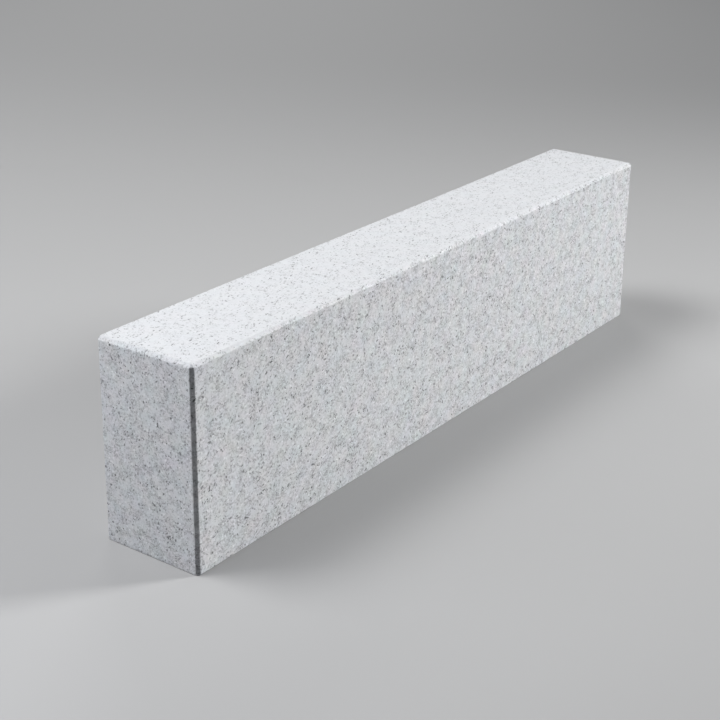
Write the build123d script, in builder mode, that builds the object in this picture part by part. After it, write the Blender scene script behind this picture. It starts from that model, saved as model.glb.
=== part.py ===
"""Sawn granite curb: one straight block of stone with its worked arrises chamfered.

Millimetres. The origin is the centre of the bed, the face that the curb is laid on. +X runs along the
curb, -Y is the face towards the road and +Z is up.
"""

import os

from build123d import *

# Driving dimensions
LENGTH = 1000.0  # along the row of curbs
WIDTH = 140.0  # from the road face to the back
HEIGHT = 250.0  # from the bed to the top
ARRIS_CHAMFER = 4.0  # leg of the 45 degree chamfer on each worked arris

with BuildPart() as curb_stone:
    with BuildSketch(Plane.XY) as bed:
        Rectangle(LENGTH, WIDTH)
    extrude(amount=HEIGHT)

    # The upright arrises and those around the top are chamfered. Those around the bed stay as sawn.
    upright_arrises = curb_stone.edges().filter_by(Axis.Z)
    top_arrises = curb_stone.faces().sort_by(Axis.Z)[-1].edges()
    chamfer(upright_arrises + top_arrises, length=ARRIS_CHAMFER)

curb_stone.part.label = "curb_stone"

os.makedirs("parts", exist_ok=True)
export_step(curb_stone.part, "parts/curb_stone.step")
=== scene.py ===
"""Looks of the sawn granite curb: its worn arrises, its granite, and a plain studio around it.

Metres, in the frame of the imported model: +X along the curb, -Y out of the road face, +Z up.
"""

import math
import random

import bmesh
import bpy
import numpy as np
from mathutils import Matrix, Vector, noise


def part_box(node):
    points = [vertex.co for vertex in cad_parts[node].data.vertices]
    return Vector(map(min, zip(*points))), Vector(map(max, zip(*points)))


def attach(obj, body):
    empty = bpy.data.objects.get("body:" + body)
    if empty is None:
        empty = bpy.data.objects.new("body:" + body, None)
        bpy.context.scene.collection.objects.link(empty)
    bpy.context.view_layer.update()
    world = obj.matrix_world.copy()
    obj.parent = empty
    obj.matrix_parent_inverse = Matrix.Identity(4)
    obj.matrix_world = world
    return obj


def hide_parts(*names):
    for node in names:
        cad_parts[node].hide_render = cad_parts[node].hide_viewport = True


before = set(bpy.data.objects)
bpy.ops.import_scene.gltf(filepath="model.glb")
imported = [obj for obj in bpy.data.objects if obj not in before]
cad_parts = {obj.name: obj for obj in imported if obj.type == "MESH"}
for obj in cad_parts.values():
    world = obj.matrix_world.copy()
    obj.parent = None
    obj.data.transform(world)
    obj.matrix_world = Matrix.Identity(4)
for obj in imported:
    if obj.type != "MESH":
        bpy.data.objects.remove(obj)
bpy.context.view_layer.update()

NODE = "curb_stone"
PIECE = "curb_stone_worn"
MM = 0.001
SEED = 7

# Camera, solved from the straight edges of the curb in the photograph
CAMERA_AT = Vector((-1.556, -1.055, 0.865))
CAMERA_TARGET = Vector((-0.206, -0.070, 0.2475))
CAMERA_ROLL = math.radians(0.57)
CAMERA_LENS_MM = 75.45
CAMERA_SENSOR_MM = 36.0
CAMERA_SHIFT_Y = -0.097
CAMERA_SEES_TO = 100.0

# Arrises: the leg of the chamfers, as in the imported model, and the wear of the sawn edges round the bed
CHAMFER = 4.0 * MM
BED_WEAR = 0.7 * MM
# Waves of a chamfer's width along the arris, each as (wavelength, height), and the bed's share of them
CHAMFER_WAVES = ((26.0 * MM, 0.20 * MM), (6.0 * MM, 0.35 * MM))
BED_WAVE_SHARE = 0.4
# Rounds of moving the places out of the chamfers, after which they have settled
SETTLING_ROUNDS = 12
# Grains plucked out where a chamfer meets a face
PLUCK_SIZE = 2.6 * MM
PLUCK_DEPTH = 0.6 * MM
PLUCK_REACH = 1.5 * MM
# Chips along the worked arrises, with their depth as a share of their radius
CHIP_SPACING = 70.0 * MM
CHIP_RADIUS = (1.3 * MM, 2.6 * MM)
CHIP_DEPTH = 0.3
# A place this near a face lies on it
TOUCH = 0.001 * MM
# Where the noises of the waves and of the plucked grains are read, so that they differ
NOISE_WAY = Vector((1.0, -1.0, 2.0))
WAVE_SHIFT = 10.0
PLUCK_SHIFT = 30.0

# Mesh: cells of the flat faces, halved in each band along the arrises, the last of them narrower at the bed
CELL = 8.0 * MM
FINE_BANDS = (20.0 * MM, 9.0 * MM, 5.2 * MM)
BED_FINE_BAND = 2.0 * MM
# Bake map: the six faces as strips, this far apart
MAP_GAP = 6.0 * MM

# Granite: cast of its greys, and how its grains are shaken out of their straight sides
GREY_CAST = (0.985, 1.0, 1.025)
SHAKE_SIZE = 1.6 * MM
SHAKE = 2.2 * MM
# Grain sizes, shares of the grains and their tones
FELDSPAR_GRAIN = 2.0 * MM
FELDSPAR_TONES = (0.619, 0.671)
PALE_SHARE = 0.05
PALE_TONE = 0.76
QUARTZ_GRAIN = 2.6 * MM
QUARTZ_SHARE = 0.40
QUARTZ_TONE = 0.535
# Clusters of mica: how much paler the ground is between them and darker in them, and the noise at each
CLUSTER_SIZE = 12.0 * MM
CLOUD = 0.03
CLOUD_SPAN = (0.35, 0.65)
# Faint tints: how far red, green and blue each stray
TINT_SIZE = 20.0 * MM
TINTS = (0.13, 0.06, 0.08)
# On the top, not yet at the first depth and fully at the second, the ground is evened out towards one tone
# and the mica is weaker, a painted sheen for the glare of the brightly lit top; its relief is weaker too
TOP_SKIN = (2.0 * MM, 1.0 * MM)
TOP_SHEEN_TONE = 0.632
TOP_SHEEN_EVENNESS = 0.75
TOP_SHEEN_FADE = 0.15
TOP_SHEEN_SEAM_STRENGTH = 0.1
TOP_RELIEF = 0.3
# Mica flecks: size across, how far drawn out, lean and turn of that direction in degrees, and the shares of
# grains that are flecks between clusters and in them
FLECKS = (
    (2.0 * MM, 1.0, 0.0, 0.0, 0.0, 0.030),
    (1.1 * MM, 1.0, 0.0, 0.0, 0.005, 0.035),
    (1.4 * MM, 3.4, 80.0, 20.0, 0.015, 0.055),
    (1.4 * MM, 3.4, 45.0, -30.0, 0.015, 0.055),
    (1.4 * MM, 3.4, 135.0, 40.0, 0.015, 0.055),
)
FLECK_SPAN = (0.38, 0.62)
# The faintest and the strongest fleck, and a power that makes most of them faint
FLECK_STRENGTH = (0.15, 0.97)
FLECK_FAINTNESS = 2.0
MICA_TONE = 0.09
# Mica seams: short lengths of the lines between grains, soft from the first half-width to the second, cut
# off where a noise falls through SEAM_CUT, and longer in clusters
SEAM_GRAIN = 2.8 * MM
SEAM_SOFT = (0.50 * MM, 0.20 * MM)
SEAM_LENGTH = 2.8 * MM
SEAM_CUT = (0.55, 0.62)
SEAM_STRENGTH = 0.40
SEAM_CLUSTER = 0.5
SEAM_SHIFT = (1.0, 2.0, 3.0)
# The chamfers are honed, and those round the top are painted paler, a painted highlight. That ends where
# the depths under the two faces that meet there add up to the first length, and is full up to the second
HONED_REACH = (5.0 * MM, 4.5 * MM)
PAINTED_HIGHLIGHT_TONE = 1.06
# The upright chamfers are painted darker, in blotches, as painted shade: their tones, the noise at each,
# and where the painted shade ends and where it is full on the long sides, on the ends and below the top
PAINTED_SHADE_TONES = (0.37, 0.55)
SHADE_MOTTLE = 7.0 * MM
MOTTLE_SPAN = (0.3, 0.7)
SHADE_ON_SIDE = (5.4 * MM, 3.2 * MM)
SHADE_ON_END = (3.9 * MM, 3.3 * MM)
SHADE_BELOW_TOP = (2.6 * MM, 4.2 * MM)
# Finish: roughness of each surface, a low gloss for the whole stone, and the relief of its grains
SAWN_ROUGHNESS = 0.95
MICA_ROUGHNESS = 0.30
HONED_ROUGHNESS = 0.38
GLOSS = 0.12
BUMP_SIZE = 1.6 * MM
BUMP_HEIGHT = 0.12 * MM
# Noise: its middle value, and the detail of a smooth, a plain and a fine one
NOISE_MIDDLE = 0.5
SMOOTH_DETAIL = 1.0
PLAIN_DETAIL = 2.0
FINE_DETAIL = 3.0

# Sockets of a Mix node that mix colours, which share their names with its other sockets
MIX_FACTOR = 0
MIX_A = 6
MIX_B = 7
MIX_RESULT = 2

# Studio: the floor is a little darker than the stone, so that the curb stands out from it
FLOOR_RADIUS = 30.0
FLOOR_SIDES = 96
FLOOR_TONE = 0.42
FLOOR_ROUGHNESS = 0.9
FLOOR_GLOSS = 0.2
WORLD_COLOUR = (0.95, 0.97, 1.0, 1.0)
WORLD_STRENGTH = 0.2
# Area lights: place, the point that each faces, width and height, watts, colour and spread in degrees
WHITE = (1.0, 1.0, 1.0)
COOL = (0.91, 0.93, 1.0)
LIGHTS = {
    "overhead": ((-1.3, 1.6, 3.6), (-0.1, 0.0, 0.2), (1.8, 1.6), 105.0, WHITE, 180.0),
    "left": ((-2.81, 3.35, 1.21), (0.0, 0.0, 0.12), (1.8, 1.6), 33.0, COOL, 180.0),
    "right": ((3.60, -3.02, 1.83), (-0.05, -0.07, 0.12), (1.2, 1.0), 18.4, WHITE, 45.0),
    "back": ((3.2, 3.2, 3.0), (2.0, 1.6, 0.0), (2.0, 1.6), 50.0, WHITE, 180.0),
    "near": ((-1.05, 0.20, 0.72), (-0.5, 0.0, 0.2), (0.5, 0.5), 1.8, COOL, 180.0),
}

low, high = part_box(NODE)
size = high - low
centre = (low + high) / 2


# The block

def depths(places):
    """How deep each place lies under the nearer face of each pair, and whether that is the upper one."""
    from_low = places - np.array(low)
    from_high = np.array(high) - places
    return np.minimum(from_low, from_high), from_high < from_low


def noise_at(places, wavelength, shift):
    """Smooth noise from about -1 to 1 at each place."""
    offset = shift * NOISE_WAY
    return np.array([noise.noise(Vector(p) / wavelength + offset) for p in places])


def nears_an_arris(edge, band, bed_band):
    """Whether a mesh edge lies within a band along an edge of the block."""
    middle = (edge.verts[0].co + edge.verts[1].co) / 2
    depth = [min(middle[i] - low[i], high[i] - middle[i]) for i in range(3)]
    shallow = sorted(depth)
    at_bed = depth[2] == middle[2] - low[2] and depth[2] in shallow[:2]
    return shallow[1] < (bed_band if at_bed else band)


def graded_block():
    """A sharp box of about square cells that get smaller towards its edges."""
    mesh = bmesh.new()
    bmesh.ops.create_cube(mesh, size=1.0)
    for vertex in mesh.verts:
        vertex.co = Vector(vertex.co[i] * size[i] + centre[i] for i in range(3))
    for axis in range(3):
        along = [e for e in mesh.edges if abs(e.verts[0].co[axis] - e.verts[1].co[axis]) > CELL]
        bmesh.ops.subdivide_edges(mesh, edges=along, cuts=round(size[axis] / CELL) - 1)
    for level, band in enumerate(FINE_BANDS):
        last = level == len(FINE_BANDS) - 1
        near = [e for e in mesh.edges if nears_an_arris(e, band, BED_FINE_BAND if last else band)]
        bmesh.ops.subdivide_edges(mesh, edges=near, cuts=1, use_grid_fill=True)
    bmesh.ops.triangulate(mesh, faces=mesh.faces)
    return mesh


def chamfered(places):
    """Moves the places of a sharp box onto the worn, chamfered block."""
    depth, upper = depths(places)
    at_top = upper[:, 2]
    wave = np.zeros(len(places))
    for number, (wavelength, height) in enumerate(CHAMFER_WAVES):
        wave += height * noise_at(places, wavelength, WAVE_SHIFT + number)
    worked = CHAMFER + wave
    bed = BED_WEAR + BED_WAVE_SHARE * np.abs(wave)
    level = np.where(at_top, worked, bed)
    widths = {(0, 1): worked, (0, 2): level, (1, 2): level}

    # Each chamfer pushes the places in front of it straight inwards, and so does each corner of the top
    start = depth.copy()
    for _ in range(SETTLING_ROUNDS):
        for (i, j), width in widths.items():
            push = np.clip((width - depth[:, i] - depth[:, j]) / 2, 0, None)
            depth[:, i] += push
            depth[:, j] += push
        corner = np.clip((2 * worked - depth.sum(1)) / 3, 0, None) * at_top
        depth += corner[:, None]

    pluck = np.clip(noise_at(places, PLUCK_SIZE, PLUCK_SHIFT), 0, None) * PLUCK_DEPTH
    for (i, j), width in widths.items():
        beside = np.exp(-(((start[:, i] + start[:, j] - width) / PLUCK_REACH) ** 2))
        depth[:, i] += pluck * beside
        depth[:, j] += pluck * beside
    return np.where(upper, np.array(high) - depth, np.array(low) + depth)


def worked_arrises():
    """The two ends of each chamfered edge of the block."""
    corners = [(x, y) for x in (low.x, high.x) for y in (low.y, high.y)]
    upright = [(Vector((x, y, low.z)), Vector((x, y, high.z))) for x, y in corners]
    along = [(Vector((low.x, y, high.z)), Vector((high.x, y, high.z))) for y in (low.y, high.y)]
    across = [(Vector((x, low.y, high.z)), Vector((x, high.y, high.z))) for x in (low.x, high.x)]
    return upright + along + across


def chipped(places):
    """Knocks small flakes off the worked arrises."""
    draw = random.Random(SEED)
    inside = np.array(centre)
    for start, end in worked_arrises():
        for _ in range(round((end - start).length / CHIP_SPACING)):
            at = np.array(start.lerp(end, draw.random()))
            radius = draw.uniform(*CHIP_RADIUS)
            aside = np.array([draw.uniform(-1, 1) for _ in range(3)]) * CHAMFER
            distance = np.linalg.norm(places - (at + aside), axis=1)
            fall = np.clip(1 - (distance / radius) ** 2, 0, None)
            inward = np.sign(inside - at) * (np.abs(at - inside) > np.array(size) / 2 - TOUCH)
            places = places + (fall * radius * CHIP_DEPTH)[:, None] * inward / np.linalg.norm(inward)
    return places


def map_places(mesh):
    """Lays the six faces of the sharp box out as strips, side by side, for the bake."""
    length, width, height = size
    rows = {
        (1, False): (0.0, 0.0),
        (1, True): (0.0, height + MAP_GAP),
        (2, True): (0.0, 2 * (height + MAP_GAP)),
        (2, False): (0.0, 2 * (height + MAP_GAP) + width + MAP_GAP),
        (0, False): (0.0, 2 * (height + width + 2 * MAP_GAP)),
        (0, True): (height + MAP_GAP, 2 * (height + width + 2 * MAP_GAP)),
    }
    side = length + 2 * MAP_GAP
    layer = mesh.loops.layers.uv.new("OFBake")
    for face in mesh.faces:
        axis = max(range(3), key=lambda i: abs(face.normal[i]))
        u0, v0 = rows[axis, face.normal[axis] > 0]
        for loop in face.loops:
            x, y, z = loop.vert.co - low
            u, v = {0: (z, y), 1: (x, z), 2: (x, y)}[axis]
            loop[layer].uv = ((MAP_GAP + u0 + u) / side, (MAP_GAP + v0 + v) / side)


def make_curb():
    """The worn block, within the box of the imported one."""
    mesh = graded_block()
    map_places(mesh)
    places = np.array([v.co for v in mesh.verts])
    places = chamfered(places)
    places = chipped(places)
    places = np.clip(places, np.array(low), np.array(high))
    for vertex, place in zip(mesh.verts, places):
        vertex.co = place
    bmesh.ops.recalc_face_normals(mesh, faces=mesh.faces)
    for face in mesh.faces:
        face.smooth = True
    data = bpy.data.meshes.new(PIECE)
    mesh.to_mesh(data)
    mesh.free()
    curb = bpy.data.objects.new(PIECE, data)
    bpy.context.collection.objects.link(curb)
    return curb


# The granite

class Graph:
    """Adds and links the nodes of one material."""

    def __init__(self, name):
        self.material = bpy.data.materials.new(name)
        self.material.use_nodes = True
        self.tree = self.material.node_tree
        self.shader = self.tree.nodes["Principled BSDF"]

    def put(self, socket, value):
        """Links an output to a socket, or sets the socket's own value."""
        if isinstance(value, bpy.types.NodeSocket):
            self.tree.links.new(value, socket)
        else:
            socket.default_value = value

    def add(self, kind, inputs, **settings):
        """Adds a node and returns its outputs."""
        node = self.tree.nodes.new(kind)
        for name, value in settings.items():
            setattr(node, name, value)
        for name, value in inputs.items():
            self.put(node.inputs[name], value)
        return node.outputs

    def math(self, operation, a, b=0.0, c=0.0):
        return self.add("ShaderNodeMath", {0: a, 1: b, 2: c}, operation=operation)[0]

    def vector(self, operation, a, b, c=(0.0, 0.0, 0.0)):
        return self.add("ShaderNodeVectorMath", {0: a, 1: b, 2: c}, operation=operation)[0]

    def ramp(self, value, start, end, first=0.0, last=1.0):
        """Runs from the first number to the last while the value runs from start to end."""
        inputs = {"Value": value, "From Min": start, "From Max": end, "To Min": first, "To Max": last}
        return self.add("ShaderNodeMapRange", inputs)[0]

    def noise(self, place, wavelength, detail=PLAIN_DETAIL):
        """Smooth noise: its number and its colour."""
        inputs = {"Vector": place, "Scale": 1.0 / wavelength, "Detail": detail}
        outputs = self.add("ShaderNodeTexNoise", inputs)
        return outputs["Fac"], outputs["Color"]

    def grains(self, place, across):
        """Three random numbers for each grain."""
        cells = self.add("ShaderNodeTexVoronoi", {"Vector": place, "Scale": 1.0 / across})
        return self.add("ShaderNodeSeparateColor", {0: cells["Color"]})[:3]

    def edge(self, place, across, outer, inner):
        """One where two grains meet, and none further than the outer distance from there."""
        inputs = {"Vector": place, "Scale": 1.0 / across}
        apart = self.add("ShaderNodeTexVoronoi", inputs, feature="DISTANCE_TO_EDGE")["Distance"]
        return self.ramp(apart, outer / across, inner / across)

    def mix(self, factor, a, b, blend="MIX"):
        """Mixes two colours."""
        node = self.tree.nodes.new("ShaderNodeMix")
        node.data_type = "RGBA"
        node.blend_type = blend
        for socket, value in ((MIX_FACTOR, factor), (MIX_A, a), (MIX_B, b)):
            self.put(node.inputs[socket], value)
        return node.outputs[MIX_RESULT]


def grey(tone):
    """The cool grey of the stone."""
    red, green, blue = GREY_CAST
    return (red * tone, green * tone, blue * tone, 1.0)


def depth_nodes(g, raw):
    """How far each place lies from the nearer end, from the nearer long side and from the top."""
    x, y, z = g.add("ShaderNodeSeparateXYZ", {0: raw})[:3]
    from_end = g.math("SUBTRACT", size.x / 2, g.math("ABSOLUTE", g.math("SUBTRACT", x, centre.x)))
    from_side = g.math("SUBTRACT", size.y / 2, g.math("ABSOLUTE", g.math("SUBTRACT", y, centre.y)))
    from_top = g.math("SUBTRACT", high.z, z)
    return from_end, from_side, from_top


def ground_colour(g, raw, place, cluster):
    """The pale ground of feldspar and quartz."""
    # Feldspar, with a few grains that are paler still
    tone, pale, _ = g.grains(place, FELDSPAR_GRAIN)
    colour = g.mix(tone, grey(FELDSPAR_TONES[0]), grey(FELDSPAR_TONES[1]))
    pale = g.math("GREATER_THAN", pale, 1.0 - PALE_SHARE)
    colour = g.mix(pale, colour, grey(PALE_TONE))

    # Quartz, grey and glassy
    quartz, tone, _ = g.grains(place, QUARTZ_GRAIN)
    quartz = g.math("LESS_THAN", quartz, QUARTZ_SHARE)
    colour = g.mix(g.math("MULTIPLY", quartz, tone), colour, grey(QUARTZ_TONE))

    # A little darker where mica gathers
    cloud = g.ramp(cluster, *CLOUD_SPAN, 1.0 + CLOUD, 1.0 - CLOUD)
    colour = g.vector("MULTIPLY", colour, cloud)

    # Faint tints
    _, tint = g.noise(raw, TINT_SIZE)
    tint = g.vector("MULTIPLY_ADD", tint, TINTS, [1.0 - t / 2 for t in TINTS])
    return g.mix(1.0, colour, tint, "MULTIPLY")


def mica_amount(g, raw, place, cluster, top):
    """Mica, in loose clusters: short seams between the grains, and flecks drawn out in several ways."""
    seam = g.edge(place, SEAM_GRAIN, *SEAM_SOFT)
    length, _ = g.noise(g.vector("ADD", raw, SEAM_SHIFT), SEAM_LENGTH, SMOOTH_DETAIL)
    length = g.math("MULTIPLY_ADD", g.math("SUBTRACT", cluster, NOISE_MIDDLE), SEAM_CLUSTER, length)
    seam = g.math("MULTIPLY", seam, g.ramp(length, *SEAM_CUT))
    # On the top the seams are weaker, part of the painted sheen
    mica = g.math("MULTIPLY", seam, g.ramp(top, 0.0, 1.0, SEAM_STRENGTH, TOP_SHEEN_SEAM_STRENGTH))
    for shift, (across, stretch, lean, turn, fewest, most) in enumerate(FLECKS):
        drawn = g.add("ShaderNodeMapping", {
            "Vector": place,
            "Location": (shift, shift, shift),
            "Rotation": (0.0, math.radians(lean), math.radians(turn)),
            "Scale": (1.0, 1.0, stretch),
        }, vector_type="TEXTURE")[0]
        fleck, tone, _ = g.grains(drawn, across)
        fleck = g.math("LESS_THAN", fleck, g.ramp(cluster, *FLECK_SPAN, fewest, most))
        strength = g.ramp(g.math("POWER", tone, FLECK_FAINTNESS), 0.0, 1.0, *FLECK_STRENGTH)
        mica = g.math("MAXIMUM", mica, g.math("MULTIPLY", fleck, strength))
    # On the top the mica is faded, part of the painted sheen
    return g.math("MULTIPLY", mica, g.ramp(top, 0.0, 1.0, 1.0, 1.0 - TOP_SHEEN_FADE))


def arris_colour(g, raw, colour, from_end, from_side, from_top):
    """Paints the arrises round the top paler, a painted highlight, and the upright chamfers darker in
    uneven blotches, painted shade.
    """
    by_top = g.math("ADD", from_top, g.math("MINIMUM", from_end, from_side))
    # Painted highlight: the arrises round the top are made paler
    painted_highlight = g.ramp(by_top, *HONED_REACH, 1.0, PAINTED_HIGHLIGHT_TONE)
    colour = g.vector("MULTIPLY", colour, painted_highlight)
    # Painted shade: the upright chamfers are darkened in uneven blotches
    painted_shade = g.math("MULTIPLY", g.ramp(from_end, *SHADE_ON_SIDE), g.ramp(from_side, *SHADE_ON_END))
    painted_shade = g.math("MULTIPLY", painted_shade, g.ramp(from_top, *SHADE_BELOW_TOP))
    mottle, _ = g.noise(raw, SHADE_MOTTLE, FINE_DETAIL)
    tone = g.ramp(mottle, *MOTTLE_SPAN, *PAINTED_SHADE_TONES)
    return g.mix(painted_shade, colour, g.vector("MULTIPLY", colour, tone))


def stone_roughness(g, mica, from_end, from_side, from_top):
    """Rough where it is sawn, smoother on mica and on all the chamfers, which are honed."""
    roughness = g.ramp(mica, 0.0, 1.0, SAWN_ROUGHNESS, MICA_ROUGHNESS)
    for a, b in ((from_end, from_side), (from_end, from_top), (from_side, from_top)):
        honed = g.ramp(g.math("ADD", a, b), *HONED_REACH, 1.0, HONED_ROUGHNESS)
        roughness = g.math("MINIMUM", roughness, honed)
    return roughness


def make_granite():
    """Light grey granite, fine in grain."""
    g = Graph("granite")
    raw = g.add("ShaderNodeTexCoord", {})["Object"]
    from_faces = depth_nodes(g, raw)
    top = g.ramp(from_faces[2], *TOP_SKIN)

    # Grains are never straight-sided, so their places are shaken a little
    _, shake = g.noise(raw, SHAKE_SIZE)
    shake = g.vector("SUBTRACT", shake, (NOISE_MIDDLE, NOISE_MIDDLE, NOISE_MIDDLE))
    place = g.vector("MULTIPLY_ADD", shake, (SHAKE, SHAKE, SHAKE), raw)

    cluster, _ = g.noise(raw, CLUSTER_SIZE, FINE_DETAIL)
    colour = ground_colour(g, raw, place, cluster)
    # Painted sheen: on the top the ground is evened out towards one tone, for the glare of its light
    colour = g.mix(g.math("MULTIPLY", top, TOP_SHEEN_EVENNESS), colour, grey(TOP_SHEEN_TONE))
    mica = mica_amount(g, raw, place, cluster, top)
    colour = g.mix(mica, colour, grey(MICA_TONE))
    colour = arris_colour(g, raw, colour, *from_faces)

    height, _ = g.noise(raw, BUMP_SIZE, FINE_DETAIL)
    relief = g.ramp(top, 0.0, 1.0, 1.0, TOP_RELIEF)
    bump = g.add("ShaderNodeBump", {"Strength": relief, "Distance": BUMP_HEIGHT, "Height": height})[0]
    g.put(g.shader.inputs["Base Color"], colour)
    g.put(g.shader.inputs["Roughness"], stone_roughness(g, mica, *from_faces))
    g.put(g.shader.inputs["Specular IOR Level"], GLOSS)
    g.put(g.shader.inputs["Normal"], bump)
    return g.material


# The studio

def area_light(name, at, target, sides, watts, colour, spread):
    """A soft light that faces a point and doesn't show in the picture."""
    data = bpy.data.lights.new(name, "AREA")
    data.shape = "RECTANGLE"
    data.size, data.size_y = sides
    data.energy = watts
    data.color = colour
    data.spread = math.radians(spread)
    light = bpy.data.objects.new(name, data)
    light.location = at
    light.rotation_mode = "QUATERNION"
    light.rotation_quaternion = (Vector(target) - Vector(at)).to_track_quat("-Z", "Y")
    light.visible_camera = False
    bpy.context.collection.objects.link(light)


def make_floor():
    """A plain disc under the curb."""
    data = bpy.data.meshes.new("floor")
    mesh = bmesh.new()
    bmesh.ops.create_circle(mesh, cap_ends=True, segments=FLOOR_SIDES, radius=FLOOR_RADIUS)
    mesh.to_mesh(data)
    mesh.free()
    floor = bpy.data.objects.new("floor", data)
    floor.location.z = low.z
    bpy.context.collection.objects.link(floor)
    material = bpy.data.materials.new("pale_floor")
    material.use_nodes = True
    shader = material.node_tree.nodes["Principled BSDF"]
    shader.inputs["Base Color"].default_value = (FLOOR_TONE, FLOOR_TONE, FLOOR_TONE, 1.0)
    shader.inputs["Roughness"].default_value = FLOOR_ROUGHNESS
    shader.inputs["Specular IOR Level"].default_value = FLOOR_GLOSS
    data.materials.append(material)


def make_world():
    """Even light from all round."""
    world = bpy.data.worlds.new("studio")
    bpy.context.scene.world = world
    world.use_nodes = True
    back = world.node_tree.nodes["Background"]
    back.inputs["Color"].default_value = WORLD_COLOUR
    back.inputs["Strength"].default_value = WORLD_STRENGTH


def make_camera():
    """The camera at the photograph's viewing angle."""
    data = bpy.data.cameras.new("camera")
    data.lens = CAMERA_LENS_MM
    data.sensor_width = CAMERA_SENSOR_MM
    data.shift_y = CAMERA_SHIFT_Y
    data.clip_end = CAMERA_SEES_TO
    camera = bpy.data.objects.new("camera", data)
    bpy.context.collection.objects.link(camera)
    look = (CAMERA_TARGET - CAMERA_AT).to_track_quat("-Z", "Y").to_matrix().to_4x4()
    camera.matrix_world = Matrix.Translation(CAMERA_AT) @ look @ Matrix.Rotation(CAMERA_ROLL, 4, "Z")
    bpy.context.scene.camera = camera


curb = make_curb()
curb.data.materials.append(make_granite())
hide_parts(NODE)
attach(curb, "root")

make_floor()
make_world()
for name, settings in LIGHTS.items():
    area_light(name, *settings)
make_camera()
bpy.context.scene.view_settings.view_transform = "Standard"
